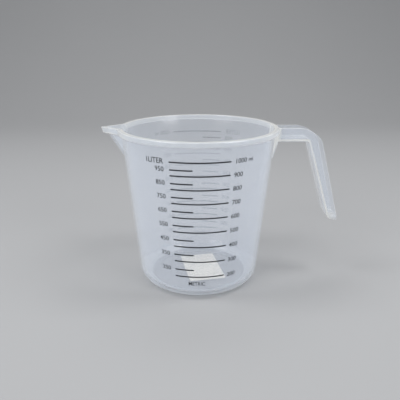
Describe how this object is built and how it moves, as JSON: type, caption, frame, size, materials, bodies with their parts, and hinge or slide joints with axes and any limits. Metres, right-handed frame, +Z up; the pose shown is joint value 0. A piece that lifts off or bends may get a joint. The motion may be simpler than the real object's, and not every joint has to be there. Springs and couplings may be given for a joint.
{
  "type": "measuring jug",
  "caption": "Tapered translucent plastic measuring jug with a V-shaped pouring spout, a hook handle and a printed volume scale on the front and back.",
  "frame": {"origin": "on the standing surface, under the middle of the length from spout tip to handle tip; the vessel's own axis is at x = -0.019", "axes": "+X towards the handle, -X towards the spout, -Y towards the front scale, +Z up"},
  "size_m": [0.19, 0.125, 0.125],
  "materials": {
    "natural_polypropylene": "natural translucent, milky with a faint blue cast, semi-gloss",
    "printed_ink": "black screen-printed ink",
    "label_paper": "blank off-white paper label"
  },
  "bodies": {
    "root": {"back_line_0200": "printed_ink", "back_line_0250": "printed_ink", "back_line_0300": "printed_ink", "back_line_0350": "printed_ink", "back_line_0400": "printed_ink", "back_line_0450": "printed_ink", "back_line_0500": "printed_ink", "back_line_0550": "printed_ink", "back_line_0600": "printed_ink", "back_line_0650": "printed_ink", "back_line_0700": "printed_ink", "back_line_0750": "printed_ink", "back_line_0800": "printed_ink", "back_line_0850": "printed_ink", "back_line_0900": "printed_ink", "back_line_0950": "printed_ink", "back_line_1000": "printed_ink", "base_floor": "natural_polypropylene", "base_label": "label_paper", "front_line_0200": "printed_ink", "front_line_0250": "printed_ink", "front_line_0300": "printed_ink", "front_line_0350": "printed_ink", "front_line_0400": "printed_ink", "front_line_0450": "printed_ink", "front_line_0500": "printed_ink", "front_line_0550": "printed_ink", "front_line_0600": "printed_ink", "front_line_0650": "printed_ink", "front_line_0700": "printed_ink", "front_line_0750": "printed_ink", "front_line_0800": "printed_ink", "front_line_0850": "printed_ink", "front_line_0900": "printed_ink", "front_line_0950": "printed_ink", "front_line_1000": "printed_ink", "handle_arm": "natural_polypropylene", "handle_grip": "natural_polypropylene", "handle_root": "natural_polypropylene", "pouring_spout": "natural_polypropylene", "rim_band": "natural_polypropylene", "spout_lip": "natural_polypropylene", "vessel_wall": "natural_polypropylene"}
  },
  "joints": []
}
